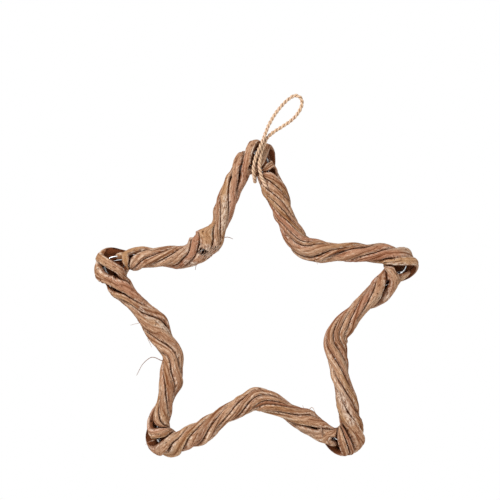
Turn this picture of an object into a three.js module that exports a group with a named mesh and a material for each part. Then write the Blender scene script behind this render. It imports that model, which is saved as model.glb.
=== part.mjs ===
import * as THREE from "three";

// Millimetres, +Z up, the front of the star faces -Y.
// The origin is the inside top of the hanging loop, where a hook carries the star.

const ropeRadius = 10; // middle of the rope to the crown of a strip, in the star's plane
const ropeDepth = 9.8; // the same from front to back
const stripCount = 6;
const armStripWidth = 15; // widest a strip may lie flat on the arms
const stripThickness = 4;
const stripGap = 1.1; // free space between two neighbouring strips on the arms
const slimmest = 0.35; // share of its lane that a strip keeps where the lanes bunch up
const wireDiameter = 2;
const wireSides = 5;
const wireCover = 10; // crown of the strips down to the wire's middle at the points
const wireSlack = { at: 91, out: -3.7, reach: 20 }; // the wire shows in the upper right notch
const cordDiameter = 3.4;
const cordSteps = 52;
const turnStep = 24; // degrees of winding between two sections of a strip

// Advance along the rope for a sixth of a turn, on the arms and over the points.
const armLead = 21.2;
const pointLead = 2;
const pointSpan = 32;
const tight = { at: 803, share: 0.62, reach: 26 }; // steeper winding at the upper left notch

// How far from a point its lead holds and where the arm's begins, on the way in and on the way out.
const outerHold = { enter: [20, 46], leave: [6, 25] };
const innerHold = { enter: [2, 18], leave: [2, 18] };

// The strips run side by side over a point: closed up at its crest by gather, parted at its crotch.
const gatherHold = { enter: [18, 48], leave: [8, 32] };
const crotchPart = 0.35;

// The rope's middle line turns at ten corners, clockwise from the top point.
// lift is the crown height over the bend at a point, reach its half length along the rope,
// width the widest that a strip lies over it and gap the space that opens between two of them.
const corners = [
  { x: -39.3, z: -38.6, bend: 13.8, lift: 22, shift: 2.8, reach: 16.6, gather: 0.55, width: 6.8, gap: 1.2 },
  { x: 4.4, z: -139.1, bend: 18.5 },
  { x: 107.1, z: -145.6, bend: 12.9, lift: 22.2, shift: 2.8, reach: 12.9, gather: 0.55, width: 10, gap: 0.3 },
  { x: 34.2, z: -220.7, bend: 18.5 },
  { x: 56.5, z: -325.4, bend: 12.9, lift: 20.5, shift: 2, reach: 13.5, gather: 0.55, width: 12, gap: 0.2 },
  { x: -34.6, z: -274.9, bend: 18.5 },
  { x: -135.3, z: -336.1, bend: 16.6, lift: 18, shift: 1, reach: 16, gather: 0.2, width: 10, gap: 0.2 },
  { x: -111.6, z: -236.9, bend: 18.5 },
  { x: -181.2, z: -149.7, bend: 15.7, lift: 23.5, shift: 0, reach: 15, gather: 0.55, width: 8.4, gap: 1 },
  { x: -83.2, z: -145.2, bend: 27.7 },
];
const notchSwell = { corner: 9, height: 5.5, shift: 4, reach: 22 }; // fanned strips, upper left

// Where the rope is fuller or slimmer than ropeRadius on its outer and inner edge:
// distance along the rope, size, half length. One row for each arm.
const outerSwells = [
  [[34, 1.5, 12], [62, -3, 20]],
  [[124, -3.5, 26], [152, -2, 16], [176, -2, 10]],
  [[212, 3, 18], [238, -2, 18], [255, 1, 10]],
  [[277, 2, 16], [310, -2.5, 20], [334, 1.5, 14], [356, 2, 10]],
  [[384, 1.5, 12], [424, -1, 16], [448, 3, 16]],
  [[490, -2, 18], [516, 3.5, 18]],
  [[588, -4, 28]],
  [[684, -3.5, 22], [709, 3, 10]],
  [[740, -1.5, 12], [752, 1, 12], [772, -1, 18], [803, 3, 10]],
  [[826, 4, 9], [841, -4, 11], [864, 1, 14], [890, -2, 8], [900, -2, 9]],
].flat();
const innerSwells = [
  [[34, 2, 12], [60, 1, 10], [78, 1, 12]],
  [[108, 2.5, 18], [132, 1, 10]],
  [[222, -1.5, 16], [242, -1.5, 16]],
  [[298, -1, 10], [324, -1.5, 14]],
  [[380, -2.5, 16], [404, 2.5, 10], [426, -1.5, 18]],
  [[463, -2, 8], [510, -1.5, 22], [536, -1, 12]],
  [[608, 4.5, 18]],
  [[664, 5.5, 22], [710, 1.5, 10]],
  [[748, 2, 12], [787, 2, 12]],
  [[822, 1, 12], [876, -1.5, 12]],
].flat();

// Where the grooves between the strips cross the middle of the front, along the rope
// from the top point. One row for each arm.
const grooves = [
  [3, 10.5, 17, 28, 43.5, 56.5, 68, 82, 91.5],
  [120, 130, 161, 176.5],
  [184, 201.5, 225, 247.5, 261.5],
  [276, 297, 318.5, 344.5, 361.5],
  [365, 372, 394, 421, 438.5, 446],
  [459.5, 482.5, 500.5, 529.5, 542.5],
  [551, 564, 572, 596.5, 617.5],
  [640.5, 682, 700, 721],
  [734.5, 744.5, 760.5, 779, 795.5, 805],
  [829, 846, 865, 893],
].flat();
const firstGroove = 48; // the windings start at the upper left notch

// Degrees of winding at which each strip starts, and the space left to the end it meets.
const starts = [78, 42, -90, -100, -80, -95];
const startGaps = [30, 14, 6, 6, 6, 6];

// The cord: tail, up the front, round the loop, down the front, under and up the back.
const cordRoute = [
  [-27, -11, -83.4],
  [-29.4, -11.6, -78.6],
  [-31.8, -12.3, -73],
  [-33.2, -12.6, -65.6],
  [-33, -12.6, -57.7],
  [-31.5, -12, -50.6],
  [-29.3, -10.4, -44.2],
  [-26.4, -7.4, -38],
  [-21.4, -4.6, -33.1],
  [-13.4, -3, -27.8],
  [-4.3, -2, -21.6],
  [2.5, -1.4, -14.2],
  [6, -0.6, -5.9],
  [4.6, 0, -0.4],
  [0, 0, 1.7],
  [-6.6, -0.4, -1.7],
  [-16.2, -2, -11.9],
  [-24, -5.4, -24.3],
  [-29, -11.2, -36.8],
  [-32, -14.2, -44.6],
  [-35.2, -14.6, -52.2],
  [-37.7, -13.4, -59.5],
  [-38.9, -12.6, -66.2],
  [-38.6, -11.6, -71.8],
  [-37.9, -8.2, -76],
  [-37.4, 0, -77.7],
  [-37.4, 8.2, -75.8],
  [-37, 12.3, -70.4],
  [-35.6, 12.6, -61],
  [-33.6, 12.4, -52],
  [-31.8, 11.2, -45.6],
];

const barkBrown = new THREE.MeshStandardMaterial({ color: 0xa57d5c, roughness: 0.8, metalness: 0 });
const brightSteel = new THREE.MeshStandardMaterial({ color: 0xc9cbcd, roughness: 0.3, metalness: 1 });
const paleStraw = new THREE.MeshStandardMaterial({ color: 0xd7b48c, roughness: 0.85, metalness: 0 });

// The middle line as alternate arcs and straight runs, starting on top of the first corner.
function middleLine() {
  const count = corners.length;
  const turns = corners.map((corner, i) => {
    const here = new THREE.Vector2(corner.x, corner.z);
    const before = corners[(i + count - 1) % count];
    const after = corners[(i + 1) % count];
    const back = new THREE.Vector2(before.x, before.z).sub(here).normalize();
    const on = new THREE.Vector2(after.x, after.z).sub(here).normalize();
    const half = back.angleTo(on) / 2;
    const run = corner.bend / Math.tan(half);
    const inward = back.clone().add(on).normalize();
    const centre = here.clone().addScaledVector(inward, corner.bend / Math.sin(half));
    const enter = here.clone().addScaledVector(back, run);
    const leave = here.clone().addScaledVector(on, run);
    const from = enter.clone().sub(centre).angle();
    let sweep = leave.clone().sub(centre).angle() - from;
    sweep = Math.atan2(Math.sin(sweep), Math.cos(sweep));
    return { centre, enter, leave, from, sweep, bend: corner.bend };
  });
  const pieces = [];
  const middles = [0];
  let length = 0;
  const push = (piece) => {
    pieces.push({ ...piece, start: length });
    length += piece.length;
  };
  const arc = (turn, from, sweep) => push({ turn, from, sweep, length: Math.abs(sweep) * turn.bend });
  arc(turns[0], turns[0].from + turns[0].sweep / 2, turns[0].sweep / 2);
  for (let i = 0; i < count; i += 1) {
    const next = turns[(i + 1) % count];
    const direction = next.enter.clone().sub(turns[i].leave);
    const reach = direction.length();
    push({ origin: turns[i].leave, direction: direction.normalize(), length: reach });
    const share = i === count - 1 ? 0.5 : 1;
    if (share === 1) {
      middles.push(length + (Math.abs(next.sweep) * next.bend) / 2);
    }
    arc(next, next.from, next.sweep * share);
  }
  return { pieces, length, middles };
}

const rope = middleLine();
const wrap = (s) => s - Math.floor(s / rope.length) * rope.length;
const apart = (a, b) => wrap(a - b + rope.length / 2) - rope.length / 2;

function bump(s, centre, reach) {
  const distance = Math.abs(apart(s, centre));
  return distance < reach ? 0.5 + 0.5 * Math.cos((Math.PI * distance) / reach) : 0;
}

// Position on the middle line with the direction that points out of the star.
function along(s) {
  const at = wrap(s);
  const piece = rope.pieces.findLast((candidate) => candidate.start <= at);
  const rest = at - piece.start;
  if (piece.turn) {
    const angle = piece.from + (piece.sweep * rest) / piece.length;
    const ray = new THREE.Vector2(Math.cos(angle), Math.sin(angle));
    const point = piece.turn.centre.clone().addScaledVector(ray, piece.turn.bend);
    return { point, out: ray.multiplyScalar(piece.sweep < 0 ? 1 : -1) };
  }
  const point = piece.origin.clone().addScaledVector(piece.direction, rest);
  return { point, out: new THREE.Vector2(-piece.direction.y, piece.direction.x) };
}

const points = corners.flatMap((corner, i) =>
  corner.lift ? [{ ...corner, middle: rope.middles[i] + corner.shift }] : [],
);

function swollen(s, swells) {
  return swells.reduce((sum, [at, size, reach]) => sum + size * bump(s, at, reach), ropeRadius);
}

// Height of the crown over the middle line, out of the star and into it.
function crownOut(s) {
  const swell = rope.middles[notchSwell.corner] + notchSwell.shift;
  const lifts = points.map((tip) => (tip.lift - ropeRadius) * bump(s, tip.middle, tip.reach));
  const plain = swollen(s, outerSwells) + notchSwell.height * bump(s, swell, notchSwell.reach);
  return lifts.reduce((sum, lift) => sum + lift, plain);
}

const crownIn = (s) => swollen(s, innerSwells);

// 1 near a point, 0 away from it.
function held(away, hold) {
  const [flat, span] = away < 0 ? hold.enter : hold.leave;
  return 1 - THREE.MathUtils.smoothstep(Math.abs(away), flat, span);
}

function gathered(s, outward) {
  return points.reduce((at, tip) => {
    const away = apart(at, tip.middle);
    const share = (outward > 0 ? tip.gather : crotchPart) * outward;
    return at - away * share * held(away, gatherHold);
  }, s);
}

// A place in the winding: distance along the rope, degrees of winding and depth under the crown.
// The winding comes round the inner edge at 0, crosses the front at 90 and the outer edge at 180.
// level is the distance along the rope whose crown the outer edge takes.
function place(s, turn, depth, level = s) {
  const angle = THREE.MathUtils.degToRad(turn);
  const outward = -Math.cos(angle);
  const at = gathered(s, outward);
  const crown = outward > 0 ? crownOut(gathered(level, outward)) : crownIn(at);
  const { point, out } = along(at);
  const offset = (crown - depth) * outward;
  const front = (ropeDepth - depth) * Math.sin(angle);
  return new THREE.Vector3(point.x + out.x * offset, -front, point.y + out.y * offset);
}

// 1 over a point, 0 on the arms.
const near = (s, tip) => Math.min(1.8 * bump(s, tip.middle, pointSpan), 1);
const nearness = (s) => points.reduce((sum, tip) => sum + near(s, tip), 0);

// Winding angle that the lead adds up to along the rope, and the place that a further turn leads to.
const phaseStep = 0.5;
const phaseCount = Math.ceil(rope.length / phaseStep);

function winding(hold) {
  const phases = [0];
  for (let i = 0; i < phaseCount; i += 1) {
    const s = (i * rope.length) / phaseCount;
    const hug = points.reduce((sum, tip) => sum + held(apart(s, tip.middle), hold), 0);
    const loose = 1 - tight.share * bump(s, tight.at, tight.reach);
    const lead = loose * (pointLead + (armLead - pointLead) * (1 - hug) ** 2);
    phases.push(phases[i] + ((60 / lead) * rope.length) / phaseCount);
  }
  const roundPhase = phases[phaseCount];
  const phaseAt = (s) => {
    const rounds = Math.floor(s / rope.length);
    const at = ((s - rounds * rope.length) / rope.length) * phaseCount;
    const low = Math.min(Math.floor(at), phaseCount - 1);
    return rounds * roundPhase + THREE.MathUtils.lerp(phases[low], phases[low + 1], at - low);
  };
  return (s, degrees) => {
    const phase = phaseAt(s) + degrees;
    const rounds = Math.floor(phase / roundPhase);
    const rest = phase - rounds * roundPhase;
    let low = 0;
    let high = phaseCount;
    while (high - low > 1) {
      const middle = (low + high) >> 1;
      if (phases[middle] <= rest) {
        low = middle;
      } else {
        high = middle;
      }
    }
    const share = (rest - phases[low]) / (phases[high] - phases[low]);
    return (rounds + (low + share) / phaseCount) * rope.length;
  };
}

const outerTurn = winding(outerHold);
const innerTurn = winding(innerHold);

function grooveFront(number) {
  const rounds = Math.floor(number / grooves.length);
  return grooves[number - rounds * grooves.length] + rounds * rope.length;
}

// One groove followed round the rope: by the lead on the front, straight over on the back.
function grooveRaw(number, turn) {
  const rounds = Math.floor(turn / 360);
  const here = grooveFront(number + rounds * stripCount);
  const rest = turn - rounds * 360;
  if (rest <= 90) {
    return innerTurn(here, rest - 90);
  }
  if (rest <= 180) {
    return outerTurn(here, rest - 90);
  }
  const next = grooveFront(number + (rounds + 1) * stripCount);
  return THREE.MathUtils.lerp(outerTurn(here, 90), innerTurn(next, -90), (rest - 180) / 180);
}

function groove(number, turn) {
  const spread = [-24, -12, 0, 12, 24];
  return spread.reduce((sum, shift) => sum + grooveRaw(number, turn + shift), 0) / spread.length;
}

// The lane between two grooves: its middle, the strip's half width in it and the skew of a square cut.
function lane(number, turn) {
  const middleAt = (angle) => (groove(number, angle) + groove(number + 1, angle)) / 2;
  const from = groove(number, turn);
  const to = groove(number + 1, turn);
  const halfDepth = stripThickness / 2;
  const across = place(to, turn, halfDepth).sub(place(from, turn, halfDepth));
  const nearby = 2;
  const ahead = place(middleAt(turn + nearby), turn + nearby, halfDepth);
  const path = ahead.sub(place(middleAt(turn - nearby), turn - nearby, halfDepth));
  const speed = path.length() / (2 * nearby);
  const slide = across.dot(path.normalize());
  const clear = Math.sqrt(Math.max(across.lengthSq() - slide * slide, 1e-6));
  const middle = (from + to) / 2;
  const angle = THREE.MathUtils.degToRad(turn);
  const closed = gathered(middle, -Math.cos(angle));
  const narrowing = points.map((tip) => (tip.width - armStripWidth) * near(closed, tip));
  const opening = points.map((tip) => tip.gap * bump(closed, tip.middle, pointSpan));
  const widest = narrowing.reduce((sum, part) => sum + part, armStripWidth);
  const gap = opening.reduce((sum, part) => sum + part, stripGap);
  const wanted = Math.max(Math.min(widest, clear - gap), clear * slimmest);
  const share = wanted / clear;
  const half = ((to - from) / 2) * share;
  const flat = nearness(closed) * THREE.MathUtils.clamp(2 * Math.sin(angle) + 1.5, 0, 1);
  return { middle, half, skew: ((slide / 2) * share) / speed, flat };
}

// Section of a strip: place across from -1 to 1 and depth under the crown.
const section = [
  [-1, 3],
  [-0.55, 0.4],
  [0.55, 0.4],
  [1, 3],
  [0, stripThickness],
];

function sweepRings(rings, closed) {
  const sides = rings[0].length;
  const index = [];
  const last = closed ? rings.length : rings.length - 1;
  for (let i = 0; i < last; i += 1) {
    for (let k = 0; k < sides; k += 1) {
      const a = i * sides + k;
      const b = i * sides + ((k + 1) % sides);
      const c = ((i + 1) % rings.length) * sides + k;
      const d = ((i + 1) % rings.length) * sides + ((k + 1) % sides);
      index.push(a, b, d, a, d, c);
    }
  }
  if (!closed) {
    const end = (rings.length - 1) * sides;
    for (let k = 1; k < sides - 1; k += 1) {
      index.push(0, k + 1, k, end, end + k, end + k + 1);
    }
  }
  const geometry = new THREE.BufferGeometry();
  const dots = rings.flat().flatMap((p) => p.toArray());
  geometry.setAttribute("position", new THREE.Float32BufferAttribute(dots, 3));
  geometry.setIndex(index);
  geometry.computeVertexNormals();
  return geometry;
}

function stripGeometry(strip) {
  const number = firstGroove + strip;
  const meets = (strip + 1) % stripCount;
  const rounds = (grooves.length + meets - strip) / stripCount;
  const end = starts[meets] + 360 * rounds - startGaps[meets];
  const steps = Math.round((end - starts[strip]) / turnStep);
  const rings = [];
  for (let i = 0; i <= steps; i += 1) {
    const turn = THREE.MathUtils.lerp(starts[strip], end, i / steps);
    const skew = lane(number, turn).skew;
    rings.push(
      section.map(([across, depth]) => {
        const at = turn - across * skew;
        const { middle, half, flat } = lane(number, at);
        const s = middle + across * half;
        return place(s, at, depth, THREE.MathUtils.lerp(s, middle, flat)); // level over a point
      }),
    );
  }
  return sweepRings(rings, false);
}

function wirePoint(s) {
  const { point, out } = along(s);
  const lifts = points.map((tip) => (tip.lift - wireCover) * bump(s, tip.middle, tip.reach));
  const slack = wireSlack.out * bump(s, wireSlack.at, wireSlack.reach);
  const offset = lifts.reduce((sum, lift) => sum + lift, slack);
  return new THREE.Vector3(point.x + out.x * offset, 0, point.y + out.y * offset);
}

function wireGeometry() {
  const stations = corners.flatMap((corner, i) => {
    const count = corner.lift ? 15 : 7;
    const span = corner.lift ? 19 : 16;
    const middle = rope.middles[i] + (corner.shift ?? 0);
    return Array.from({ length: count }, (_, k) => middle + span * ((2 * k) / (count - 1) - 1));
  });
  const front = new THREE.Vector3(0, -1, 0);
  const rings = stations.map((s) => {
    const centre = wirePoint(s);
    const ahead = wirePoint(s + 0.5).sub(wirePoint(s - 0.5)).normalize();
    const side = new THREE.Vector3().crossVectors(front, ahead);
    return Array.from({ length: wireSides }, (_, k) => {
      const angle = (2 * Math.PI * k) / wireSides;
      const ring = centre.clone().addScaledVector(side, (Math.cos(angle) * wireDiameter) / 2);
      return ring.addScaledVector(front, (Math.sin(angle) * wireDiameter) / 2);
    });
  });
  return sweepRings(rings, true);
}

function cordGeometry() {
  const path = new THREE.CatmullRomCurve3(cordRoute.map((p) => new THREE.Vector3(...p)));
  const ring = Array.from({ length: 8 }, (_, k) => {
    const angle = (Math.PI * k) / 4;
    return new THREE.Vector2(Math.cos(angle), Math.sin(angle)).multiplyScalar(cordDiameter / 2);
  });
  return new THREE.ExtrudeGeometry(new THREE.Shape(ring), { steps: cordSteps, extrudePath: path });
}

const star = new THREE.Group();
star.name = "hanging_star";

function add(name, geometry, material) {
  const mesh = new THREE.Mesh(geometry, material);
  mesh.name = name;
  star.add(mesh);
}

add("wire_frame", wireGeometry(), brightSteel);
for (let strip = 0; strip < stripCount; strip += 1) {
  add(`vine_strip_${strip + 1}`, stripGeometry(strip), barkBrown);
}
add("hanging_cord", cordGeometry(), paleStraw);

export default star;
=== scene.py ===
import math

import bpy
import numpy as np
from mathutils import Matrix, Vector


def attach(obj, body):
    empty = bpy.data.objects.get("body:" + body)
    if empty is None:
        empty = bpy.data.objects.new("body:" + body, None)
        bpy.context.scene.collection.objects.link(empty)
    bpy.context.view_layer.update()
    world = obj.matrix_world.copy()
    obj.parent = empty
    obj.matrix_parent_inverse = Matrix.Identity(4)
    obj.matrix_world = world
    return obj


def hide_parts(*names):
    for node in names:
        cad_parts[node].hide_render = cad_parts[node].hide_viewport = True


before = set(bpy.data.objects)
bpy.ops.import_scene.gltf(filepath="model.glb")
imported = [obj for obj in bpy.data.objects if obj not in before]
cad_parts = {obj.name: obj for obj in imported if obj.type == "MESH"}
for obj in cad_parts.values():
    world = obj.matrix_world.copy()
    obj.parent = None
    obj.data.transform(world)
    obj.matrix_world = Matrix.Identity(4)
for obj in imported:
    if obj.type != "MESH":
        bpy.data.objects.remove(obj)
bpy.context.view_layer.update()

mm = 0.001  # lengths below are in millimetres, meshes in metres


def fromHex(code):
    parts = [int(code[i:i + 2], 16) / 255 for i in (0, 2, 4)]
    return [p / 12.92 if p < 0.04045 else ((p + 0.055) / 1.055) ** 2.4 for p in parts]


# camera, level with the star and square to it
camera = {
    "distance": 1.7,  # metres
    "frameWidth": 461.5,  # width of the picture in the star's plane
    "aim": (-42.0, 0.0, -140.8),
    "sensor": 36.0,
}


def makeCamera():
    data = bpy.data.cameras.new("camera")
    data.sensor_width = camera["sensor"]
    data.lens = camera["sensor"] * camera["distance"] / (camera["frameWidth"] * mm)
    data.clip_end = 50
    made = bpy.data.objects.new("camera", data)
    bpy.context.scene.collection.objects.link(made)
    x, y, z = (v * mm for v in camera["aim"])
    made.location = (x, y - camera["distance"], z)
    made.rotation_euler = (math.pi / 2, 0, 0)
    bpy.context.scene.camera = made


makeCamera()
print("camera placed")


# shader maths as plain expressions
class Socket:
    def __init__(self, finish, node, output):
        self.finish = finish
        self.node = node
        self.output = output

    def out(self, name):
        return Socket(self.finish, self.node, self.node.outputs[name])

    def maths(self, operation, first, second):
        return self.finish.node("ShaderNodeMath", {"operation": operation}, {0: first, 1: second})

    def __add__(self, other):
        return self.maths("ADD", self, other)

    def __radd__(self, other):
        return self.maths("ADD", other, self)

    def __sub__(self, other):
        return self.maths("SUBTRACT", self, other)

    def __rsub__(self, other):
        return self.maths("SUBTRACT", other, self)

    def __mul__(self, other):
        return self.maths("MULTIPLY", self, other)

    def __rmul__(self, other):
        return self.maths("MULTIPLY", other, self)

    def between(self, low, high):  # 0 at low, 1 at high, smooth in between
        return self.finish.node(
            "ShaderNodeMapRange",
            {"interpolation_type": "SMOOTHSTEP", "clamp": True},
            {"Value": self, "From Min": low, "From Max": high},
        )


class Finish:
    def __init__(self, name):
        self.material = bpy.data.materials.new(name)
        self.material.use_nodes = True
        self.tree = self.material.node_tree
        self.shader = self.tree.nodes["Principled BSDF"]

    # any node: its type, its settings first, then values or links for its sockets
    def node(self, kind, settings=None, sockets=None):
        made = self.tree.nodes.new(kind)
        for name, value in (settings or {}).items():
            if name == "stops":
                self.setStops(made.color_ramp, value)
            else:
                setattr(made, name, value)
        for name, value in (sockets or {}).items():
            self.feed(made.inputs[name], value)
        return Socket(self, made, next(o for o in made.outputs if o.enabled))

    def setStops(self, ramp, stops):
        while len(ramp.elements) < len(stops):
            ramp.elements.new(1.0)
        for element, (place, colour) in zip(ramp.elements, stops):
            element.position = place
            element.color = (*colour, 1.0)

    def feed(self, socket, value):
        if isinstance(value, Socket):
            self.tree.links.new(value.output, socket)
        else:
            socket.default_value = value

    def set(self, **values):
        names = {"color": "Base Color", "roughness": "Roughness", "metallic": "Metallic",
                 "normal": "Normal", "specular": "Specular IOR Level"}
        for name, value in values.items():
            self.feed(self.shader.inputs[names[name]], value)

    def mix(self, factor, low, high):
        colours = [c if isinstance(c, Socket) else (*c, 1.0) for c in (low, high)]
        settings = {"data_type": "RGBA", "clamp_factor": True}
        return self.node("ShaderNodeMix", settings, {0: factor, 6: colours[0], 7: colours[1]})

    def attribute(self, name):
        return self.node("ShaderNodeAttribute", {"attribute_name": name})

    def noise(self, vector, detail=3.0, roughness=0.55):
        sockets = {"Vector": vector, "Scale": 1.0, "Detail": detail, "Roughness": roughness}
        return self.node("ShaderNodeTexNoise", {"noise_dimensions": "3D"}, sockets)

    def stretch(self, vector, *factors):
        return self.node("ShaderNodeVectorMath", {"operation": "MULTIPLY"}, {0: vector, 1: factors})

    def bump(self, height, distance, strength=1.0):
        sockets = {"Height": height, "Distance": distance, "Strength": strength}
        return self.node("ShaderNodeBump", {}, sockets)


# smooth random values on a line or a sheet, the same in every run
noiseKnots = {"line": 4096, "across": 256, "along": 1024}  # values before a pattern repeats


def eased(part):
    return part * part * (3 - 2 * part)


def lineNoise(x, step, seed):
    count = noiseKnots["line"]
    knots = np.random.default_rng(seed).uniform(-1, 1, count)
    place = np.asarray(x) / step
    low = np.floor(place).astype(int)
    part = eased(place - low)
    return knots[low % count] * (1 - part) + knots[(low + 1) % count] * part


def sheetNoise(x, y, stepX, stepY, seed):
    across, along = noiseKnots["across"], noiseKnots["along"]
    knots = np.random.default_rng(seed).uniform(-1, 1, (across, along))
    px, py = x / stepX, y / stepY
    ix, iy = np.floor(px).astype(int), np.floor(py).astype(int)
    fx, fy = eased(px - ix), eased(py - iy)
    ix, iy, jx, jy = ix % across, iy % along, (ix + 1) % across, (iy + 1) % along
    near = knots[ix, iy] * (1 - fx) + knots[jx, iy] * fx
    far = knots[ix, jy] * (1 - fx) + knots[jx, jy] * fx
    return near * (1 - fy) + far * fy


# meshes from rings of points
def ringFaces(count, sides, closed, first=0):
    ring = np.arange(sides)
    rows = np.arange(count if closed else count - 1)[:, None]
    after = (rows + 1) % count
    turn = (ring + 1) % sides
    quads = np.stack([rows * sides + ring, rows * sides + turn,
                      after * sides + turn, after * sides + ring], axis=-1)
    return quads.reshape(-1, 4) + first


def makeMesh(name, points, quads, caps=()):
    mesh = bpy.data.meshes.new(name)
    faces = [*quads.tolist(), *[list(map(int, cap)) for cap in caps]]
    mesh.from_pydata((np.asarray(points) * mm).tolist(), [], faces)
    mesh.update()
    mesh.shade_smooth()
    made = bpy.data.objects.new(name, mesh)
    bpy.context.scene.collection.objects.link(made)
    return made


def writeAttribute(piece, name, values):
    kind = "FLOAT_VECTOR" if values.ndim == 2 else "FLOAT"
    made = piece.data.attributes.new(name, kind, "POINT")
    made.data.foreach_set("vector" if values.ndim == 2 else "value", values.astype(np.float32).ravel())


# a tube along a line of points, with a radius for each point
def tubeRings(line, radii, sides, closed=False, spin=None):
    ahead = np.roll(line, -1, 0) - np.roll(line, 1, 0)
    if not closed:
        ahead[0], ahead[-1] = line[1] - line[0], line[-1] - line[-2]
    ahead /= np.linalg.norm(ahead, axis=1)[:, None]
    side = np.zeros_like(line)
    start = np.cross(ahead[0], (0.0, 1.0, 0.0))
    side[0] = start / np.linalg.norm(start)
    for i in range(1, len(line)):
        carried = side[i - 1] - ahead[i] * (side[i - 1] @ ahead[i])
        side[i] = carried / np.linalg.norm(carried)
    other = np.cross(ahead, side)
    angles = np.arange(sides) * 2 * math.pi / sides
    turned = angles[None, :] + (0 if spin is None else spin[:, None])
    reach = np.asarray(radii)[:, None, None]
    return line[:, None] + reach * (np.cos(turned)[..., None] * side[:, None]
                                    + np.sin(turned)[..., None] * other[:, None])


def smoothLine(points, spacing):
    # centripetal curve through given points, then evenly spaced
    p = np.asarray(points, float)
    p = np.vstack([2 * p[0] - p[1], p, 2 * p[-1] - p[-2]])
    found = []
    for i in range(1, len(p) - 2):
        a, b, c, d = p[i - 1:i + 3]
        steps = [math.sqrt(np.linalg.norm(v)) for v in (b - a, c - b, d - c)]
        leave = ((b - a) / steps[0] - (c - a) / (steps[0] + steps[1]) + (c - b) / steps[1]) * steps[1]
        reach = ((c - b) / steps[1] - (d - b) / (steps[1] + steps[2]) + (d - c) / steps[2]) * steps[1]
        t = np.linspace(0, 1, 40, endpoint=False)[:, None]
        found.append((2 * t**3 - 3 * t**2 + 1) * b + (t**3 - 2 * t**2 + t) * leave
                     + (3 * t**2 - 2 * t**3) * c + (t**3 - t**2) * reach)
    dense = np.vstack([*found, p[-2:-1]])
    return evenLine(dense, spacing)


def evenLine(dense, spacing):
    run = np.concatenate([[0], np.cumsum(np.linalg.norm(np.diff(dense, axis=0), axis=1))])
    stations = np.linspace(0, run[-1], max(3, int(run[-1] / spacing) + 1))
    return np.stack([np.interp(stations, run, dense[:, k]) for k in range(3)], 1)


# hanging cord, two twisted plies of pale straw
hangingCord = {
    "diameter": 3.4,
    "plies": 2,
    "plyOffset": 0.215,  # shares of the diameter
    "plyRadius": 0.285,
    "pitch": -8.2,
    "spacing": 0.45,  # between two rings of points
    "sides": 12,
    "uneven": 0.1,  # share by which a ply's thickness varies
    "fuzz": 0.06,
    "endTaper": (0.45, 0.75, 0.92),
    "route": [
        (-27, -11, -83.4), (-29.4, -11.6, -78.6), (-31.8, -12.3, -73), (-33.2, -12.6, -65.6),
        (-33, -12.6, -57.7), (-31.5, -12, -50.6), (-29.3, -10.4, -44.2), (-26.4, -7.4, -38),
        (-21.4, -4.6, -33.1), (-13.4, -3, -27.8), (-4.3, -2, -21.6), (2.5, -1.4, -14.2),
        (6, -0.6, -5.9), (4.6, 0, -0.4), (0, 0, 1.7), (-6.6, -0.4, -1.7),
        (-16.2, -2, -11.9), (-24, -5.4, -24.3), (-29, -11.2, -36.8), (-32, -14.2, -44.6),
        (-35.2, -14.6, -52.2), (-37.7, -13.4, -59.5), (-38.9, -12.6, -66.2), (-38.6, -11.6, -71.8),
        (-37.9, -8.2, -76), (-37.4, 0, -77.7), (-37.4, 8.2, -75.8), (-37, 12.3, -70.4),
        (-35.6, 12.6, -61), (-33.6, 12.4, -52), (-31.8, 11.2, -45.6),
    ],
}


def strawFinish():
    straw = Finish("pale straw")
    grain = straw.attribute("grain").out("Vector")
    fibres = straw.noise(straw.stretch(grain, 2.6, 0.35, 1.0), 4.0, 0.65).out("Fac")
    blotch = straw.noise(straw.stretch(grain, 0.15, 0.12, 1.0), 2.0).out("Fac")
    dip = straw.attribute("dip").out("Fac")
    body = straw.node("ShaderNodeValToRGB", {"stops": [
        (0.3, fromHex("a97d58")), (0.45, fromHex("d3ab86")), (0.58, fromHex("e6c8aa")),
        (0.76, fromHex("f7e8d6")),
    ]}, {"Fac": fibres * 0.75 + blotch * 0.3})
    tinted = straw.mix(blotch.between(0.48, 0.7) * 0.45, body, fromHex("d2a08a"))
    # painted shade in the crevices between the two plies
    shaded = straw.mix(dip.between(0.15, 0.7) * 0.9, tinted, fromHex("714a2e"))
    straw.set(color=shaded, roughness=0.72 + fibres * 0.2, specular=0.25,
              normal=straw.bump(fibres, 0.25 * mm, 0.7))
    return straw.material


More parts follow.
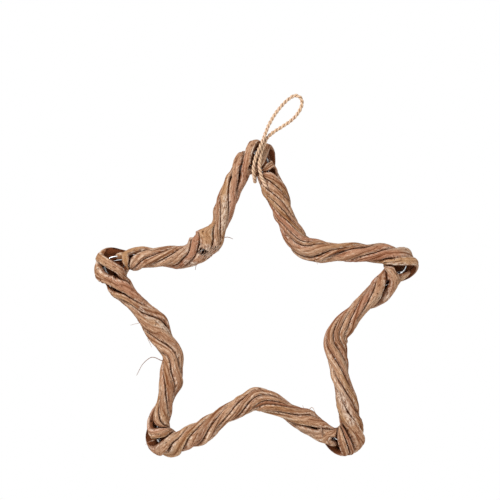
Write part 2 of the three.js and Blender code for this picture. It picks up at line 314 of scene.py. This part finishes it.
def makeCord(finish):
    size = hangingCord["diameter"]
    line = smoothLine(hangingCord["route"], hangingCord["spacing"])
    run = np.linspace(0, 1, len(line)) * np.linalg.norm(np.diff(line, axis=0), axis=1).sum()
    guides = tubeRings(line, np.full(len(line), size * hangingCord["plyOffset"]),
                       hangingCord["plies"], spin=2 * math.pi * run / hangingCord["pitch"])
    points, quads, caps, grain, dip = [], [], [], [], []
    sides, taper = hangingCord["sides"], hangingCord["endTaper"]
    along = np.tile(run[:, None], (1, sides))
    for ply in range(hangingCord["plies"]):
        core = guides[:, ply]
        width = size * hangingCord["plyRadius"] * (1 + hangingCord["uneven"] * lineNoise(run, 6.0, 40 + ply))
        width[:len(taper)] *= taper
        width[-len(taper):] *= taper[::-1]
        rings = tubeRings(core, width, sides)
        fuzz = sheetNoise(np.tile(np.arange(sides) * 1.0, (len(line), 1)), along, 1.0, 1.6, 50 + ply)
        rings += hangingCord["fuzz"] * fuzz[..., None] * (rings - core[:, None]) / width[:, None, None]
        first = len(points) * len(line) * sides
        quads.append(ringFaces(len(line), sides, False, first))
        caps.append(np.arange(sides)[::-1] + first)
        caps.append(np.arange(sides) + first + (len(line) - 1) * sides)
        points.append(rings.reshape(-1, 3))
        around = np.tile(np.arange(sides) * 0.8, (len(line), 1)) + ply * 11
        weave = np.stack([around + run[:, None] * 0.5, along, np.full_like(around, ply)], -1)
        grain.append(weave.reshape(-1, 3))
        # painted shade: points on each ply's inner side, towards the cord's middle line, are marked to be
        # darkened where the plies meet
        depth = np.linalg.norm(rings - line[:, None], axis=2) / (size / 2)
        dip.append((1 - (depth - 0.35) / 0.6).clip(0, 1).ravel())
    cord = makeMesh("hanging_cord_twist", np.vstack(points), np.vstack(quads), caps)
    writeAttribute(cord, "grain", np.vstack(grain))
    writeAttribute(cord, "dip", np.concatenate(dip))
    cord.data.materials.append(finish)
    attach(cord, "root")
    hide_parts("hanging_cord")


makeCord(strawFinish())

# the rope of vine strips: a middle line with ten corners, clockwise from the top point
rope = {
    "radius": 10.0,  # middle to crown in the star's plane
    "depth": 9.8,  # the same from front to back
    "hollow": 1.3,  # left free round the wire
    "strips": 6,
    "armLead": 21.2,  # advance for a sixth of a turn on the arms and over the points
    "pointLead": 2.0,
    "pointSpan": 32.0,
    "pointSteep": 1.8,  # how soon the strips take on a point's width
    "step": 0.2,  # between two points of the middle line
    "windingStep": 0.5,
    "smoothing": (-24, -12, 0, 12, 24),  # degrees of winding over which a groove is evened out
    "tight": {"at": 797.0, "share": 0.62, "reach": 32.0},  # steeper winding at the upper left notch
    # how far from a point its lead holds and where the arm's begins, on the way in and on the way out
    "outerHold": ((20.0, 46.0), (6.0, 25.0)),
    "innerHold": ((2.0, 18.0), (2.0, 18.0)),
    # the strips close up towards the crest of a point and part towards its crotch
    "gather": {"crotch": 0.35, "hold": ((18.0, 48.0), (8.0, 32.0))},
    "corners": [
        {"x": -39.3, "z": -38.6, "bend": 13.8, "lift": 22.0, "shift": 2.8, "reach": 16.6, "gather": 0.55,
         "width": 6.3, "gap": 1.5},
        {"x": 4.4, "z": -139.1, "bend": 18.5},
        {"x": 107.1, "z": -145.6, "bend": 12.9, "lift": 22.2, "shift": 2.8, "reach": 12.9, "gather": 0.55,
         "width": 10.5, "gap": 0.6},
        {"x": 34.2, "z": -220.7, "bend": 18.5},
        {"x": 56.5, "z": -325.4, "bend": 12.9, "lift": 20.5, "shift": 2.0, "reach": 13.5, "gather": 0.55,
         "width": 10.4, "gap": 0.4},
        {"x": -34.6, "z": -274.9, "bend": 18.5},
        {"x": -135.3, "z": -336.1, "bend": 16.6, "lift": 18.0, "shift": 1.0, "reach": 16.0, "gather": 0.2,
         "width": 10.0, "gap": 0.4},
        {"x": -111.6, "z": -236.9, "bend": 18.5},
        {"x": -181.2, "z": -149.7, "bend": 15.7, "lift": 23.5, "shift": 0.0, "reach": 15.0, "gather": 0.55,
         "width": 7.8, "gap": 1.2},
        {"x": -83.2, "z": -145.2, "bend": 27.7},
    ],
    "notchSwell": {"corner": 9, "height": 5.5, "shift": 4.0, "reach": 22.0},
    # where the rope is fuller or slimmer: distance along it, size, half length
    "outerSwells": [
        (34, 1.5, 12), (62, -3, 20), (124, -3.5, 26), (152, -2, 16), (176, -2, 10), (212, 3, 18),
        (238, -2, 18), (255, 1, 10), (277, 2, 16), (310, -2.5, 20), (334, 1.5, 14), (356, 2, 10),
        (384, 1.5, 12), (424, -1, 16), (448, 3, 16), (490, -2, 18), (516, 3.5, 18), (588, -4, 28),
        (684, -3.5, 22), (709, 3, 10), (740, -1.5, 12), (752, 1, 12), (772, -1, 18), (803, 3, 10),
        (826, 4, 9), (841, -4, 11), (864, 1, 14), (890, -2, 8), (900, -2, 9),
    ],
    "innerSwells": [
        (34, 2, 12), (60, 1, 10), (78, 1, 12), (108, 2.5, 18), (132, 1, 10), (222, -1.5, 16), (242, -1.5, 16),
        (298, -1, 10), (324, -1.5, 14), (380, -2.5, 16), (404, 2.5, 10), (426, -1.5, 18), (463, -2, 8),
        (510, -1.5, 22), (536, -1, 12), (608, 4.5, 18), (664, 5.5, 22), (710, 1.5, 10), (748, 2, 12),
        (787, 2, 12), (822, 1, 12), (876, -1.5, 12),
    ],
    # grooves between the strips at the middle of the front, along the rope from the top point
    "grooves": [
        3, 10.5, 17, 28, 43.5, 56.5, 68, 82, 91.5,
        120, 130, 161, 176.5,
        184, 201.5, 225, 247.5, 261.5,
        276, 297, 318.5, 344.5, 361.5,
        365, 372, 394, 421, 438.5, 446,
        459.5, 482.5, 500.5, 529.5, 542.5,
        551, 564, 572, 596.5, 617.5,
        640.5, 682, 700, 721,
        734.5, 744.5, 760.5, 779, 795.5, 805,
        829, 846, 865, 893,
    ],
    "firstGroove": 48,
    "starts": [78, 42, -90, -100, -80, -95],  # degrees of winding where each strip starts
    "startGaps": [22, 10, 6, 6, 6, 6],
}
grooveFronts = np.array(rope["grooves"], float)


def unit(v):
    return v / np.linalg.norm(v)


def traceRope(step):
    places = [np.array([c["x"], c["z"]]) for c in rope["corners"]]
    count = len(places)
    turns = []
    for i, (here, corner) in enumerate(zip(places, rope["corners"])):
        back, on = unit(places[i - 1] - here), unit(places[(i + 1) % count] - here)
        half = math.acos(back @ on) / 2
        run = corner["bend"] / math.tan(half)
        centre = here + unit(back + on) * corner["bend"] / math.sin(half)
        enter, leave = here + back * run, here + on * run
        begin = math.atan2(*(enter - centre)[::-1])
        sweep = math.atan2(*(leave - centre)[::-1]) - begin
        sweep = math.atan2(math.sin(sweep), math.cos(sweep))
        turns.append((centre, enter, leave, begin, sweep, corner["bend"]))
    dots, outs, middles = [], [], []
    for i in range(count + 1):
        centre, enter, leave, begin, sweep, bend = turns[i % count]
        low, high = (0.5 if i == 0 else 0.0), (0.5 if i == count else 1.0)
        if i < count:
            middles.append(len(dots) if i else 0)
        shares = np.linspace(low, high, max(2, int(abs(sweep) * bend * (high - low) / step)))
        angles = begin + sweep * shares
        rays = np.stack([np.cos(angles), np.sin(angles)], 1)
        dots.append(centre + rays * bend)
        outs.append(rays * (1 if sweep < 0 else -1))
        if i < count:
            ahead = turns[(i + 1) % count][1] - leave
            parts = np.linspace(0, 1, max(2, int(np.linalg.norm(ahead) / step)))[1:-1, None]
            dots.append(leave + parts * ahead)
            outs.append(np.tile(unit(np.array([-ahead[1], ahead[0]])), (len(parts), 1)))
    sizes = np.cumsum([0] + [len(d) for d in dots])
    line, out = np.vstack(dots), np.vstack(outs)
    run = np.concatenate([[0], np.cumsum(np.linalg.norm(np.diff(line, axis=0), axis=1))])
    at = [0.0]
    for block in middles[1:]:
        at.append((run[sizes[block]] + run[sizes[block + 1] - 1]) / 2)
    return run, line, out, np.array(at)


ropeRun, ropeLine, ropeOut, cornerAt = traceRope(rope["step"])
ropeLength = ropeRun[-1]


def bump(s, centre, reach):
    away = np.abs(apart(s, centre))
    return np.where(away < reach, 0.5 + 0.5 * np.cos(math.pi * np.minimum(away / reach, 1)), 0.0)


points = [{**c, "at": cornerAt[i] + c["shift"]} for i, c in enumerate(rope["corners"]) if "lift" in c]


def near(s, point):
    return np.minimum(rope["pointSteep"] * bump(s, point["at"], rope["pointSpan"]), 1)


def nearness(s):
    return sum(near(s, p) for p in points)


def crownOut(s):
    swell = rope["notchSwell"]
    notch = cornerAt[swell["corner"]] + swell["shift"]
    crown = rope["radius"] + swell["height"] * bump(s, notch, swell["reach"])
    crown = crown + sum(size * bump(s, at, reach) for at, size, reach in rope["outerSwells"])
    return crown + sum((p["lift"] - rope["radius"]) * bump(s, p["at"], p["reach"]) for p in points)


def crownIn(s):
    return rope["radius"] + sum(size * bump(s, at, reach) for at, size, reach in rope["innerSwells"])


# 1 near a point, 0 away from it
def held(away, hold):
    flat, span = (np.where(away < 0, hold[0][i], hold[1][i]) for i in (0, 1))
    return 1 - eased(np.clip((np.abs(away) - flat) / (span - flat), 0, 1))


def apart(s, centre):
    return (s - centre + ropeLength / 2) % ropeLength - ropeLength / 2


def gathered(s, outward):
    gather = rope["gather"]
    for p in points:
        away = apart(s, p["at"])
        share = np.where(outward > 0, p["gather"], gather["crotch"]) * outward
        s = s - away * share * held(away, gather["hold"])
    return s


# distance along the rope, degrees of winding (90 front, 180 outer edge) and depth under the crown
def place(s, turn, depth, level=None):
    angle = np.radians(turn)
    outward = -np.cos(angle)
    at = gathered(np.asarray(s), outward) % ropeLength
    x, z, nx, nz = (np.interp(at, ropeRun, t) for t in (*ropeLine.T, *ropeOut.T))
    level = at if level is None else gathered(level, outward) % ropeLength
    crown = np.where(outward > 0, crownOut(level), crownIn(at))
    offset = np.maximum(crown - depth, rope["hollow"]) * outward
    front = np.maximum(rope["depth"] - depth, rope["hollow"]) * np.sin(angle)
    return np.stack([x + nx * offset, -front, z + nz * offset], -1)


# winding angle that the lead adds up to along the rope, and its inverse
class Winding:
    def __init__(self, hold):
        self.run = np.linspace(0, ropeLength, 1 + int(ropeLength / rope["windingStep"]))
        near = sum(held(apart(self.run, p["at"]), hold) for p in points)
        lead = rope["pointLead"] + (rope["armLead"] - rope["pointLead"]) * (1 - near) ** 2
        tight = rope["tight"]
        lead = lead * (1 - tight["share"] * bump(self.run, tight["at"], tight["reach"]))
        laneTurn = 360 / rope["strips"]
        self.phases = np.concatenate([[0], np.cumsum(laneTurn / lead[:-1] * np.diff(self.run))])

    def phaseAt(self, s):
        rounds = np.floor(s / ropeLength)
        return rounds * self.phases[-1] + np.interp(s - rounds * ropeLength, self.run, self.phases)

    def turned(self, s, degrees):
        phase = self.phaseAt(s) + degrees
        rounds = np.floor(phase / self.phases[-1])
        rest = phase - rounds * self.phases[-1]
        return rounds * ropeLength + np.interp(rest, self.phases, self.run)


outerWinding, innerWinding = Winding(rope["outerHold"]), Winding(rope["innerHold"])


def grooveFront(number):
    rounds, rest = np.divmod(number, len(grooveFronts))
    return grooveFronts[rest] + rounds * ropeLength


# one groove round the rope: by the lead on the front, straight over on the back
def grooveRaw(number, turn):
    rounds = np.floor(turn / 360).astype(int)
    rest = turn - rounds * 360
    here = grooveFront(number + rounds * rope["strips"])
    after = grooveFront(number + (rounds + 1) * rope["strips"])
    low, high = outerWinding.turned(here, 90), innerWinding.turned(after, -90)
    front = np.where(rest <= 90, innerWinding.turned(here, rest - 90), outerWinding.turned(here, rest - 90))
    return np.where(rest <= 180, front, low + (high - low) * (rest - 180) / 180)


def groove(number, turn):
    return sum(grooveRaw(number, turn + d) for d in rope["smoothing"]) / len(rope["smoothing"])


vineStrip = {
    "thickness": 5.2,
    "gap": 0.2,
    "armWidth": 19.0,
    "slimmest": 0.55,
    "edgeDrop": 4.4,  # depth of the edges under the crown
    "roundness": (2.0, 5.0),  # of the section on the arms and over the points
    "underReach": 1.05,
    "topColumns": 35,
    "underColumns": 7,
    "splits": 2,  # long cracks along each strip
    "splitWidth": 0.55,
    "splitDepth": 0.7,
    "rowTurn": 2.6,  # degrees between two rows
    "ridge": 0.3,
    "lift": 0.8,
    "lean": 0.8,
    "waver": 0.05,
    "torn": 7.0,  # length of the pale torn stretch at each end
    "ragged": (3.0, 1.5),  # coarse and fine teeth of the ends, in degrees of winding
    "raggedEnd": 40,  # how near to the ends the teeth stay
    "overrun": 40,  # degrees of winding worked out past both ends
    "fullWidth": 8.5,  # strips slimmer than this are thinner too
    "depthShare": (0.55, 1.15),
    "fold": 0.55,
    "underMark": 1.2,  # value of the edge attribute on the underside
    # pale worn places on the front: from, to and half width
    "worn": [
        ((-64.0, -93.0), (-67.5, -120.0), 3.4), ((41.5, -274.5), (50.5, -298.0), 4.2),
        ((-100.0, -152.0), (-93.0, -154.5), 3.0), ((-81.5, -139.0), (-79.0, -150.0), 3.6),
        ((85.5, -154.5), (100.0, -154.5), 2.2), ((83.5, -173.0), (85.5, -186.0), 1.6),
        ((-142.5, -194.5), (-134.5, -201.5), 1.3), ((-127.0, -206.5), (-115.0, -216.5), 1.3),
        ((-29.0, -78.0), (-26.0, -84.0), 2.0),
    ],
}


def wornAt(rings):
    worn = np.zeros(rings.shape[:2])
    for begin, end, reach in vineStrip["worn"]:
        begin, end = np.array(begin), np.array(end)
        ahead = end - begin
        away = rings[..., [0, 2]] - begin
        share = np.clip(away @ ahead / (ahead @ ahead), 0, 1)
        gap = np.linalg.norm(away - share[..., None] * ahead, axis=-1)
        worn = np.maximum(worn, np.clip(1.4 - gap / reach, 0, 1) * (rings[..., 1] < 0))
    return worn


def laneTable(number, turns):
    centre = (groove(number, turns) + groove(number + 1, turns)) / 2
    low, high = groove(number, turns), groove(number + 1, turns)
    deep = vineStrip["thickness"] / 2
    across = place(high, turns, deep) - place(low, turns, deep)
    middle = place(centre, turns, deep)
    path = np.gradient(middle, turns, axis=0)
    speed = np.linalg.norm(path, axis=1)
    slide = np.einsum("ij,ij->i", across, path / speed[:, None])
    clear = np.sqrt(np.maximum((across**2).sum(1) - slide**2, 1e-6))
    front = np.clip(np.sin(np.radians(turns)) * 2 + 2, 0, 1)
    closed = gathered(centre, -np.cos(np.radians(turns)))
    slimmer = sum((p["width"] - vineStrip["armWidth"]) * near(closed, p) for p in points)
    widest = vineStrip["armWidth"] + slimmer * front
    wider = sum(p["gap"] * bump(closed, p["at"], rope["pointSpan"]) for p in points)
    gap = vineStrip["gap"] + wider * front
    wanted = np.minimum(widest, np.maximum(clear - gap, clear * vineStrip["slimmest"]))
    share = wanted / clear
    run = np.concatenate([[0], np.cumsum(np.linalg.norm(np.diff(middle, axis=0), axis=1))])
    return {"turns": turns, "centre": centre, "half": (high - low) / 2 * share,
            "skew": slide / 2 * share / speed, "width": wanted, "run": run}


def stripTurns(strip):
    meets = (strip + 1) % rope["strips"]
    rounds = (len(grooveFronts) + meets - strip) // rope["strips"]
    return rope["starts"][strip], rope["starts"][meets] + 360 * rounds - rope["startGaps"][meets]


def makeStrip(strip, finish):
    number = rope["firstGroove"] + strip
    begin, end = stripTurns(strip)
    overrun = vineStrip["overrun"]
    table = laneTable(number, np.arange(begin - overrun, end + overrun, 1.0))
    rows = int((end - begin) / vineStrip["rowTurn"])
    top = np.sin(np.linspace(-1, 1, vineStrip["topColumns"]) * math.pi / 2)
    under = np.linspace(1, -1, vineStrip["underColumns"]) * vineStrip["underReach"]
    across = np.concatenate([top, under])
    isTop = np.arange(len(across)) < len(top)
    share = np.linspace(0, 1, rows)[:, None]
    # in noise calls the last number is the seed, the ones before it the lengths of the pattern
    coarse, fine = vineStrip["ragged"]
    jagged = lineNoise(across * 4, 0.9, 70 + strip) * coarse + lineNoise(across * 4, 0.3, 80 + strip) * fine
    jagged = np.where(isTop, jagged, 0)[None, :]
    close = vineStrip["raggedEnd"]
    turn = begin + jagged * (1 - share) ** close + (end - begin) * share - jagged * share ** close
    skew = np.interp(turn[:, len(top) // 2], table["turns"], table["skew"])[:, None]
    at = turn - across[None, :] * skew
    run = np.interp(at, table["turns"], table["run"])
    width = np.interp(at, table["turns"], table["width"])
    half = np.interp(at, table["turns"], table["half"])
    waver = vineStrip["waver"] * (0.5 + 0.5 * lineNoise(run + 300 * np.sign(across), 14.0, 90 + strip))
    half = half * (1 - waver * isTop[None, :])
    s = np.interp(at, table["turns"], table["centre"]) + across[None, :] * half
    soft, square = vineStrip["roundness"]
    roundness = soft + (square - soft) * nearness(s[:, len(top) // 2])[:, None]
    crowned = vineStrip["edgeDrop"] * (1 - np.sqrt(1 - np.abs(top)[None, :] ** roundness))
    hollow = np.tile(vineStrip["thickness"] - 0.5 * under**2, (rows, 1))
    depth = np.hstack([crowned, hollow]) * np.clip(width / vineStrip["fullWidth"], *vineStrip["depthShare"])
    offset = across[None, :] * width / 2
    sheet = offset + 40 + 30 * strip, run + 50  # a part of the pattern for each strip
    ridges = sheetNoise(*sheet, 0.75, 34.0, 100 + strip)
    ridges += 0.6 * sheetNoise(*sheet, 0.38, 16.0, 110 + strip)
    folds = sheetNoise(*sheet, 2.6, 60.0, 120 + strip)
    split = np.zeros_like(run)
    for line in range(vineStrip["splits"]):
        seed = 150 + 10 * strip + line
        away = offset - 0.38 * width * lineNoise(run, 46.0, seed)
        shown = np.clip(lineNoise(run, 26.0, seed + 70) * 2.5 + 0.3, 0, 1)
        split = np.maximum(split, np.exp(-(away / vineStrip["splitWidth"]) ** 2) * shown)
    relief = vineStrip["ridge"] * ridges + vineStrip["fold"] * np.minimum(folds, 0.1)
    relief = relief - vineStrip["splitDepth"] * split
    lift = vineStrip["lift"] * lineNoise(run, 24.0, 130 + strip)
    lean = vineStrip["lean"] * lineNoise(run, 40.0, 140 + strip) * across[None, :]
    depth = depth - np.where(isTop, 1.0, 0.0)[None, :] * relief - lift + lean * 0.6
    middle = np.interp(at, table["turns"], table["centre"])
    flat = nearness(gathered(middle, -np.cos(np.radians(at))))  # each strip has its own level over a point
    flat = flat * np.clip(2 * np.sin(np.radians(at)) + 1.5, 0, 1)  # fades at the back
    rings = place(s, at, np.maximum(depth, -1.0), s + (middle - s) * flat)
    sides = len(across)
    caps = [np.arange(sides)[::-1], np.arange(sides) + (rows - 1) * sides]
    faces = ringFaces(rows, sides, False)
    piece = makeMesh(f"vine_strip_{strip + 1}_bark", rings.reshape(-1, 3), faces, caps)
    grain = np.stack([offset + np.where(isTop, 0, 30), run, np.full_like(run, strip)], -1)
    writeAttribute(piece, "grain", grain.reshape(-1, 3))
    # edge: 0 at a strip's middle, 1 at its edges, more on the underside; it places the painted shade along
    # the strip edges and the painted highlight just inside them
    edge = np.tile(np.where(isTop, np.abs(across), vineStrip["underMark"]), (rows, 1))
    writeAttribute(piece, "edge", edge.ravel())
    # painted shade: the attribute named groove is high where the folds sink the surface, and darkens the bark
    # there
    writeAttribute(piece, "groove", (0.5 - folds * 0.5).ravel())
    writeAttribute(piece, "split", split.ravel())
    fromEnd = np.minimum(run - run.min(), run.max() - run)
    worn = np.maximum(wornAt(rings), np.clip(1 - fromEnd / vineStrip["torn"], 0, 1)) * isTop[None, :]
    writeAttribute(piece, "worn", worn.ravel())
    piece.data.materials.append(finish)
    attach(piece, "root")
    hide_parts(f"vine_strip_{strip + 1}")
    return rings[:, :len(top)]


barkColours = {
    "deep": "431d06", "dark": "6d3a17", "middle": "9a6e51", "pale": "be987a", "bleached": "ead7c4",
    "rosy": "a56a52", "sandy": "ad8353", "grey": "97826f", "inner": "6b3a1e",
}


def barkFinish():
    bark = Finish("vine bark")
    tone = {name: fromHex(code) for name, code in barkColours.items()}
    grain = bark.attribute("grain").out("Vector")
    edge = bark.attribute("edge").out("Fac")
    fold_shade = bark.attribute("groove").out("Fac")
    split = bark.attribute("split").out("Fac")
    rubbed = bark.attribute("worn").out("Fac")
    fibre = bark.noise(bark.stretch(grain, 0.62, 0.03, 13.0), 4.0, 0.65).out("Fac")
    band = bark.noise(bark.stretch(grain, 0.3, 0.011, 17.0), 2.0).out("Fac")
    patch = bark.noise(bark.stretch(grain, 0.1, 0.03, 29.0), 2.0).out("Fac")
    tint = bark.noise(bark.stretch(grain, 0.05, 0.009, 41.0), 1.0).out("Fac")
    fleck = bark.noise(bark.stretch(grain, 0.75, 0.3, 7.0), 2.0, 0.6).out("Fac")
    speck = bark.noise(bark.stretch(grain, 0.7, 0.32, 19.0), 4.0, 0.7).out("Fac")
    body = bark.node("ShaderNodeValToRGB", {"stops": [
        (0.38, tone["dark"]), (0.46, tone["middle"]), (0.55, tone["pale"]), (0.64, tone["bleached"]),
    ]}, {"Fac": fibre * 0.45 + band * 0.15 + speck * 0.32 + patch * 0.08})
    warm = bark.mix(tint.between(0.5, 0.66) * 0.45, body, tone["rosy"])
    sandy = bark.mix((1 - tint).between(0.5, 0.66) * 0.42, warm, tone["sandy"])
    grey = bark.mix(patch.between(0.54, 0.68) * 0.4, sandy, tone["grey"])
    # pale band just inside each strip's edges, broken up by speck: partly wear, partly a painted highlight on
    # the rounded edges
    worn = bark.mix(edge.between(0.55, 0.8) * speck.between(0.42, 0.6) * 0.5, grey, tone["bleached"])
    cracked = bark.mix((1 - fibre).between(0.57, 0.66) * 0.7, worn, tone["dark"])
    pitted = bark.mix((1 - fleck).between(0.6, 0.68) * 0.8, cracked, tone["deep"])
    # painted shade in the sunk folds
    fold_shaded = bark.mix(fold_shade.between(0.7, 1.0) * 0.5, pitted, tone["dark"])
    parted = bark.mix(split.between(0.25, 0.9) * 0.7, fold_shaded, tone["dark"])
    bare = bark.mix(rubbed * speck.between(0.36, 0.52) * 0.6, parted, tone["bleached"])
    holed = bark.mix(rubbed * (1 - fleck).between(0.5, 0.58) * 0.8, bare, tone["dark"])
    # painted shade along each strip's edges, where they drop into the grooves between strips; hairs marked
    # with edge 1 take this dark as their own colour
    edge_shade_and_dark_hairs = bark.mix(edge.between(0.8, 1.0) * 0.75, holed, tone["dark"])
    lined = bark.mix(edge.between(1.05, 1.15), edge_shade_and_dark_hairs, tone["inner"])
    height = fibre * 0.8 + speck * 0.3 - (1 - fleck).between(0.6, 0.72) * 0.4
    bark.set(color=lined, roughness=0.66 + speck * 0.25, specular=0.14,
             normal=bark.bump(height, 0.7 * mm, 0.9))
    return bark.material


barkMaterial = barkFinish()
stripTops = [makeStrip(strip, barkMaterial) for strip in range(rope["strips"])]
print("vine strips wound")

# hairs that stand off the bark, a thin tie and the frayed ends
looseFibres = {
    "sides": 5,
    "taper": 0.45,
    "spacing": 0.7,
    # way through x, y and z, radius and paleness
    "hairs": [
        ([(-120, -3, -243), (-124.1, -4, -242.3), (-128.8, -5, -240), (-132.5, -5, -239.5),
          (-136.1, -6, -241.4), (-140.8, -6, -246), (-146.3, -7, -256.1)], 0.46, 0.0),
        ([(-132, -3, -218), (-136.1, -4, -222), (-134.3, -5, -226.1), (-132.5, -5, -230.3)], 0.3, 0.3),
        ([(-72, -5, -128), (-66, -6, -129.2), (-62.3, -7, -129), (-57.7, -7, -130.6)], 0.5, 0.0),
        ([(-86, -6, -148), (-89.5, -7, -151.8), (-91.7, -7, -155.5), (-92.3, -8, -159.2)], 0.46, 0.0),
        ([(46, -3, -140), (50.3, -3, -137.1), (53.1, -4, -134.3), (57.7, -4, -134.3)], 0.46, 0.0),
        ([(16, -5, -147), (18.9, -6, -151.4), (20.3, -6, -154.1)], 0.3, 0.6),
        ([(8.4, -4, -290), (7.4, -5.5, -286.6), (6.4, -6.5, -283.4)], 0.3, 0.4),
        ([(12, -4, -288), (15.2, -5, -285.7), (18, -6, -290.3), (20.8, -6, -295.8)], 0.3, 0.3),
        ([(-130, -4, -316), (-134.3, -5, -317), (-138, -6, -319.8)], 0.32, 0.6),
        ([(-139.5, -3, -206.5), (-144.1, -5, -208), (-148.1, -5, -208.9), (-152, -4, -210)], 0.3, 0.3),
        ([(22.4, -4, -300), (23, -9.4, -303), (23.6, -11.4, -307.5), (24.2, -9.4, -312),
          (24.6, -4, -315)], 0.6, 0.9),
    ],
    "perEnd": 14,  # fibres in each torn end
    "endLength": (2.0, 7.5),
    "endRadius": 0.32,
}


def frayedEnds():
    dice = np.random.default_rng(61)
    found = []
    for rings in stripTops:
        for last, inside in ((0, 4), (-1, -5)):
            for _ in range(looseFibres["perEnd"]):
                column = dice.integers(3, rings.shape[1] - 3)
                root, tail = rings[inside, column], rings[last, column]
                ahead = unit(tail - root)
                drift = dice.normal(0, 0.3, 3) + unit(tail - rings[last].mean(0)) * 0.15
                length = dice.uniform(*looseFibres["endLength"])
                tip = tail + (ahead + drift) * length
                middle = (tail + tip) / 2 + dice.normal(0, 0.35, 3)
                found.append(([root, tail, middle, tip], looseFibres["endRadius"], dice.uniform(0.4, 1.0)))
    return found


def makeFibres(finish):
    sides = looseFibres["sides"]
    points, quads, caps, grain, pale = [], [], [], [], []
    first = 0
    for number, (way, radius, paleness) in enumerate(looseFibres["hairs"] + frayedEnds()):
        line = smoothLine(way, looseFibres["spacing"])
        radii = radius * np.linspace(1, looseFibres["taper"], len(line))
        rings = tubeRings(line, radii, sides)
        quads.append(ringFaces(len(line), sides, False, first))
        caps += [np.arange(sides)[::-1] + first, np.arange(sides) + first + (len(line) - 1) * sides]
        points.append(rings.reshape(-1, 3))
        count = len(line) * sides
        along = np.repeat(np.arange(len(line)) * looseFibres["spacing"], sides)
        grain.append(np.stack([np.full(count, number * 3.7), along, np.full(count, 9.0)], -1))
        pale.append(np.full(count, paleness))
        first += count
    piece = makeMesh("loose_fibres", np.vstack(points), np.vstack(quads), caps)
    pale = np.concatenate(pale)
    writeAttribute(piece, "grain", np.vstack(grain))
    writeAttribute(piece, "worn", pale)
    writeAttribute(piece, "edge", np.where(pale < 0.1, 1.0, 0.0))
    piece.data.materials.append(finish)
    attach(piece, "root")


makeFibres(barkMaterial)
print("loose fibres added")

# wire inside the rope, showing in the gaps
wireFrame = {
    "diameter": 2.0,
    "cover": 11.4,  # from the crown of a point to the wire
    "back": 1.0,  # towards the back on the arms
    "comesOut": 4.0,  # how far out at a point it lies in the middle plane again
    "slack": {"at": 91.0, "out": -3.7, "reach": 20.0},
    "sides": 12,
    "rings": 900,
}


def wireFinish():
    steel = Finish("bright wire")
    spot = steel.node("ShaderNodeTexCoord").out("Object")
    drawn = steel.noise(steel.stretch(spot, 900, 900, 900), 3.0).out("Fac")
    tarnish = steel.noise(steel.stretch(spot, 60, 60, 60), 2.0).out("Fac")
    colour = steel.mix(tarnish.between(0.45, 0.75) * 0.5, fromHex("d4d7da"), fromHex("a8a49c"))
    steel.set(color=colour, metallic=1.0, roughness=0.22 + drawn * 0.2 + tarnish.between(0.5, 0.8) * 0.15,
              normal=steel.bump(drawn, 0.03 * mm, 0.5))
    return steel.material


def makeWire(finish):
    s = np.linspace(0, ropeLength, wireFrame["rings"], endpoint=False)
    slack = wireFrame["slack"]
    out = slack["out"] * bump(s, slack["at"], slack["reach"])
    out = out + sum((p["lift"] - wireFrame["cover"]) * bump(s, p["at"], p["reach"]) for p in points)
    x, z, nx, nz = (np.interp(s, ropeRun, t) for t in (*ropeLine.T, *ropeOut.T))
    back = wireFrame["back"] * (1 - np.clip(out / wireFrame["comesOut"], 0, 1))
    line = np.stack([x + nx * out, back, z + nz * out], 1)
    sides = wireFrame["sides"]
    rings = tubeRings(line, np.full(len(s), wireFrame["diameter"] / 2), sides, closed=True)
    wire = makeMesh("wire_frame_drawn", rings.reshape(-1, 3), ringFaces(len(s), sides, True))
    wire.data.materials.append(finish)
    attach(wire, "root")
    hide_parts("wire_frame")


makeWire(wireFinish())
print("wire bent")

# floor and light
studio = {
    "floorDrop": 0.62,
    "floorRadius": 1.2,
    "floorSides": 96,
    "ambient": 0.34,
    "key": {"at": (-1.1, -1.4, 1.2), "size": 1.0, "power": 46},
    "fill": {"at": (1.2, -1.5, -0.1), "size": 1.3, "power": 9},
    "back": {"at": (0.3, 1.6, 0.7), "size": 1.4, "power": 16},
}


def makeFloor():
    sides, reach = studio["floorSides"], studio["floorRadius"] / mm
    ring = np.linspace(0, 2 * math.pi, sides, endpoint=False)
    drop = np.full(sides, -studio["floorDrop"] / mm)
    dots = np.stack([np.cos(ring) * reach, np.sin(ring) * reach, drop], 1)
    floor = makeMesh("floor", dots, np.zeros((0, 4), int), [np.arange(sides)])
    pale = Finish("pale floor")
    speckle = pale.noise(pale.stretch(pale.node("ShaderNodeTexCoord").out("Object"), 40, 40, 40)).out("Fac")
    pale.set(color=pale.mix(speckle, fromHex("eeeeec"), fromHex("f4f4f2")), roughness=0.8)
    floor.data.materials.append(pale.material)


def makeLights():
    world = bpy.data.worlds.new("white studio")
    bpy.context.scene.world = world
    world.use_nodes = True
    nodes, links = world.node_tree.nodes, world.node_tree.links
    light = nodes["Background"]
    light.inputs["Color"].default_value = (1, 1, 1, 1)
    light.inputs["Strength"].default_value = studio["ambient"]
    backdrop = nodes.new("ShaderNodeBackground")
    backdrop.inputs["Color"].default_value = (1, 1, 1, 1)
    rays = nodes.new("ShaderNodeLightPath")
    choose = nodes.new("ShaderNodeMixShader")
    links.new(rays.outputs["Is Camera Ray"], choose.inputs[0])
    links.new(light.outputs[0], choose.inputs[1])
    links.new(backdrop.outputs[0], choose.inputs[2])
    links.new(choose.outputs[0], nodes["World Output"].inputs["Surface"])
    aim = np.array(camera["aim"]) * mm
    for name in ("key", "fill", "back"):
        lamp = studio[name]
        data = bpy.data.lights.new(name, "AREA")
        data.shape, data.size, data.energy = "DISK", lamp["size"], lamp["power"]
        made = bpy.data.objects.new(name, data)
        bpy.context.scene.collection.objects.link(made)
        made.location = lamp["at"]
        direction = Vector(aim - np.array(lamp["at"]))
        made.rotation_euler = direction.to_track_quat("-Z", "Y").to_euler()


makeFloor()
makeLights()
bpy.context.scene.view_settings.view_transform = "Standard"
print("floor and light set")
